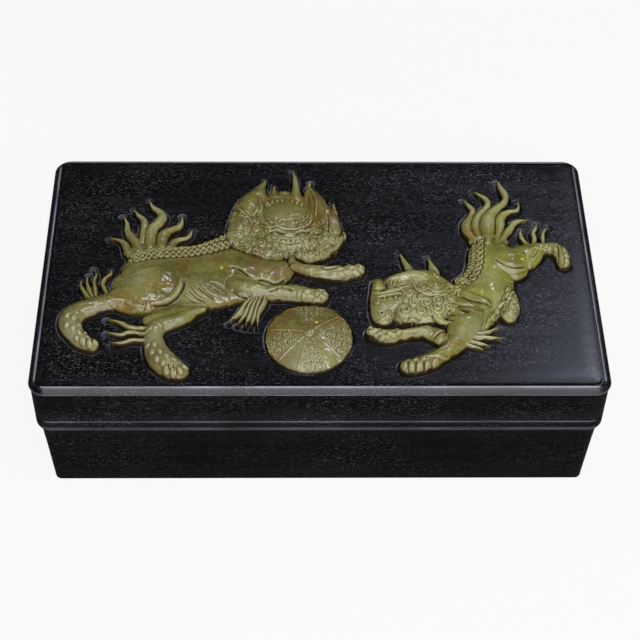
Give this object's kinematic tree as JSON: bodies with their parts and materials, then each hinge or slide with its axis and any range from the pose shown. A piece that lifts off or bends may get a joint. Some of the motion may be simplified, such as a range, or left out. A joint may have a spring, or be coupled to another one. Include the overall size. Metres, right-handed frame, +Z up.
{
  "type": "ink stick and stone box",
  "caption": "Dark hardwood scholar's box with a lift-off lid inlaid with carved soapstone lions and a ball, holding an inkstone and an ink stick in a fitted tray.",
  "frame": {"origin": "middle of the box's underside, on the surface it stands on", "axes": "+X along the box's length to the right, +Y to the back, +Z up"},
  "size_m": [0.26, 0.148, 0.0814],
  "materials": {
    "dark_hardwood": "waxed and rubbed, satin",
    "olive_soapstone": "carved and rubbed, satin",
    "yellow_soapstone": "carved and rubbed, satin",
    "silk_brocade": "woven silk",
    "slate": "honed",
    "pressed_ink": "smooth pressed soot ink"
  },
  "bodies": {
    "base": {"base_wall_front": "dark_hardwood", "base_wall_back": "dark_hardwood", "base_wall_left": "dark_hardwood", "base_wall_right": "dark_hardwood", "bottom_board": "dark_hardwood", "lip_strip_front": "dark_hardwood", "lip_strip_back": "dark_hardwood", "lip_strip_left": "dark_hardwood", "lip_strip_right": "dark_hardwood", "tray": "silk_brocade", "inkstone_pad": "silk_brocade", "ink_stick_pad": "silk_brocade"},
    "lid": {"lid_wall_front": "dark_hardwood", "lid_wall_back": "dark_hardwood", "lid_wall_left": "dark_hardwood", "lid_wall_right": "dark_hardwood", "lid_panel": "dark_hardwood", "large_lion_head": "olive_soapstone", "large_lion_body": "olive_soapstone", "large_lion_tail": "olive_soapstone", "large_lion_near_foreleg": "olive_soapstone", "large_lion_far_foreleg": "olive_soapstone", "large_lion_near_hind_leg": "olive_soapstone", "large_lion_far_hind_leg": "olive_soapstone", "small_lion_head": "yellow_soapstone", "small_lion_body": "yellow_soapstone", "small_lion_tail": "yellow_soapstone", "small_lion_near_foreleg": "yellow_soapstone", "small_lion_far_foreleg": "yellow_soapstone", "small_lion_hind_leg": "yellow_soapstone", "brocade_ball": "olive_soapstone"},
    "inkstone": {"inkstone": "slate"},
    "ink_stick": {"ink_stick": "pressed_ink"}
  },
  "joints": [
    {"name": "lid_lift", "type": "slide", "parent": "base", "child": "lid", "axis": [0, 0, 1], "range_m": [0, 0.15]},
    {"name": "inkstone_lift", "type": "slide", "parent": "base", "child": "inkstone", "axis": [0, 0, 1], "range_m": [0, 0.021]},
    {"name": "ink_stick_lift", "type": "slide", "parent": "base", "child": "ink_stick", "axis": [0, 0, 1], "range_m": [0, 0.021]}
  ]
}
